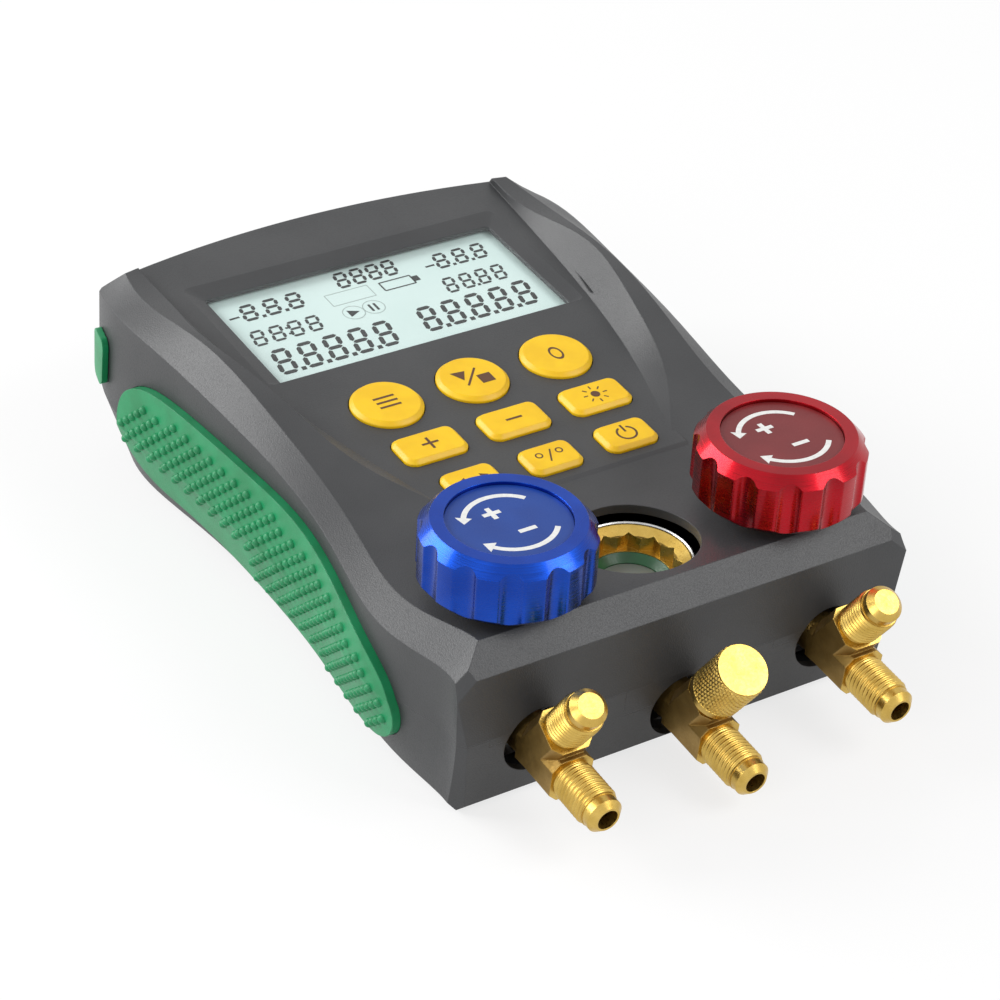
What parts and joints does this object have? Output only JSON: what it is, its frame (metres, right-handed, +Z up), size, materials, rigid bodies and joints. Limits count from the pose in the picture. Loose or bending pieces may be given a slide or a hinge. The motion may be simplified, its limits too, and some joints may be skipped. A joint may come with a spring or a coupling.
{
  "type": "digital refrigerant manifold gauge",
  "caption": "Bench digital manifold gauge: tapered waisted casing with keypad and display, side grips, valve knobs, sight glass and forked brass hose ports.",
  "frame": {"origin": "centre of the flat underside, halfway between the front wall and the crown of the rear wall", "axes": "+X to the right seen from the hose ports, +Y from the hose ports to the display end, +Z up"},
  "size_m": [0.1466, 0.2266, 0.0666],
  "materials": {
    "casing": "fine textured dark grey ABS",
    "grip": "green moulded soft grip",
    "key": "yellow satin moulded keys",
    "knob_blue": "blue anodised aluminium",
    "knob_red": "red anodised aluminium",
    "disc_blue": "satin blue disc",
    "disc_red": "satin dark red disc",
    "brass": "machined brass",
    "steel": "turned steel",
    "aluminium": "machined aluminium",
    "window": "clear acrylic window",
    "lcd": "pale display glass",
    "diffuser": "white light guide",
    "board": "green solder mask",
    "glass": "sight glass",
    "indicator": "green indicator ring",
    "cell": "battery sleeve",
    "seal": "black rubber seal"
  },
  "bodies": {
    "casing": {"upper_casing": "casing", "lower_casing": "casing", "display_window": "window", "lcd_glass": "lcd", "backlight_plate": "diffuser", "circuit_board": "board", "dome_switches": "steel", "board_screws": "steel", "left_grip": "grip", "right_grip": "grip", "left_sensor_jack": "steel", "right_sensor_jack": "steel", "batteries": "cell", "battery_contacts": "steel", "casing_screws": "steel", "manifold_block": "aluminium", "manifold_screws": "steel", "pressure_sensors": "steel", "blue_packing_nut": "brass", "red_packing_nut": "brass", "sight_bezel": "steel", "sight_nut": "brass", "indicator_ring": "indicator", "sight_lens": "glass", "left_fitting": "brass", "middle_fitting": "brass", "right_fitting": "brass", "valve_core": "brass"},
    "blue_stem": {"blue_valve_stem": "steel"},
    "blue_knob": {"blue_knob": "knob_blue", "blue_knob_disc": "disc_blue"},
    "red_stem": {"red_valve_stem": "steel"},
    "red_knob": {"red_knob": "knob_red", "red_knob_disc": "disc_red"},
    "cap_seal": {"cap_seal": "seal"},
    "port_cap": {"port_cap": "brass"},
    "left_port_cover": {"left_port_cover": "grip"},
    "right_port_cover": {"right_port_cover": "grip"},
    "battery_door": {"battery_door": "casing"},
    "unit_key": {"unit_key": "key"},
    "scale_key": {"scale_key": "key"},
    "power_key": {"power_key": "key"},
    "plus_key": {"plus_key": "key"},
    "minus_key": {"minus_key": "key"},
    "backlight_key": {"backlight_key": "key"},
    "mode_key": {"mode_key": "key"},
    "select_key": {"select_key": "key"},
    "zero_key": {"zero_key": "key"}
  },
  "joints": [
    {"name": "unit_key_press", "type": "slide", "parent": "casing", "child": "unit_key", "axis": [0, 0.0598, -0.9982], "range_m": [0, 0.0008], "stiffness_N_per_m": 800},
    {"name": "scale_key_press", "type": "slide", "parent": "casing", "child": "scale_key", "axis": [0, 0.0598, -0.9982], "range_m": [0, 0.0008], "stiffness_N_per_m": 800},
    {"name": "power_key_press", "type": "slide", "parent": "casing", "child": "power_key", "axis": [0, 0.0598, -0.9982], "range_m": [0, 0.0008], "stiffness_N_per_m": 800},
    {"name": "plus_key_press", "type": "slide", "parent": "casing", "child": "plus_key", "axis": [0, 0.0598, -0.9982], "range_m": [0, 0.0008], "stiffness_N_per_m": 800},
    {"name": "minus_key_press", "type": "slide", "parent": "casing", "child": "minus_key", "axis": [0, 0.0598, -0.9982], "range_m": [0, 0.0008], "stiffness_N_per_m": 800},
    {"name": "backlight_key_press", "type": "slide", "parent": "casing", "child": "backlight_key", "axis": [0, 0.0598, -0.9982], "range_m": [0, 0.0008], "stiffness_N_per_m": 800},
    {"name": "mode_key_press", "type": "slide", "parent": "casing", "child": "mode_key", "axis": [0, 0.0598, -0.9982], "range_m": [0, 0.0008], "stiffness_N_per_m": 800},
    {"name": "select_key_press", "type": "slide", "parent": "casing", "child": "select_key", "axis": [0, 0.0598, -0.9982], "range_m": [0, 0.0008], "stiffness_N_per_m": 800},
    {"name": "zero_key_press", "type": "slide", "parent": "casing", "child": "zero_key", "axis": [0, 0.0598, -0.9982], "range_m": [0, 0.0008], "stiffness_N_per_m": 800},
    {"name": "blue_stem_lift", "type": "slide", "parent": "casing", "child": "blue_stem", "axis": [0, 0, 1], "range_m": [0, 0.0025]},
    {"name": "blue_knob_turn", "type": "hinge", "parent": "blue_stem", "child": "blue_knob", "pos_m": [-0.04, -0.07555, 0.058], "axis": [0, 0, 1], "range_deg": [0, 720]},
    {"name": "red_stem_lift", "type": "slide", "parent": "casing", "child": "red_stem", "axis": [0, 0, 1], "range_m": [0, 0.0025]},
    {"name": "red_knob_turn", "type": "hinge", "parent": "red_stem", "child": "red_knob", "pos_m": [0.04, -0.07555, 0.058], "axis": [0, 0, 1], "range_deg": [0, 720]},
    {"name": "cap_unscrew", "type": "slide", "parent": "casing", "child": "cap_seal", "axis": [0, -0.5736, 0.8192], "range_m": [0, 0.01016]},
    {"name": "cap_turn", "type": "hinge", "parent": "cap_seal", "child": "port_cap", "pos_m": [0, -0.10155, 0.0114], "axis": [0, -0.5736, 0.8192], "range_deg": [0, 2880]},
    {"name": "left_cover_swing", "type": "hinge", "parent": "casing", "child": "left_port_cover", "pos_m": [-0.0707, 0.0768, 0.034], "axis": [0, 0, 1], "range_deg": [0, 95]},
    {"name": "right_cover_swing", "type": "hinge", "parent": "casing", "child": "right_port_cover", "pos_m": [0.0707, 0.0768, 0.034], "axis": [0, 0, -1], "range_deg": [0, 95]},
    {"name": "battery_door_tilt", "type": "hinge", "parent": "casing", "child": "battery_door", "pos_m": [0, 0.00495, 0], "axis": [-1, 0, 0], "range_deg": [0, 60]}
  ],
  "couplings": [
    {"joint": "blue_knob_turn", "follows": "blue_stem_lift", "rad_per_m": 5026.5},
    {"joint": "red_knob_turn", "follows": "red_stem_lift", "rad_per_m": 5026.5},
    {"joint": "cap_turn", "follows": "cap_unscrew", "rad_per_m": 4947.4}
  ]
}
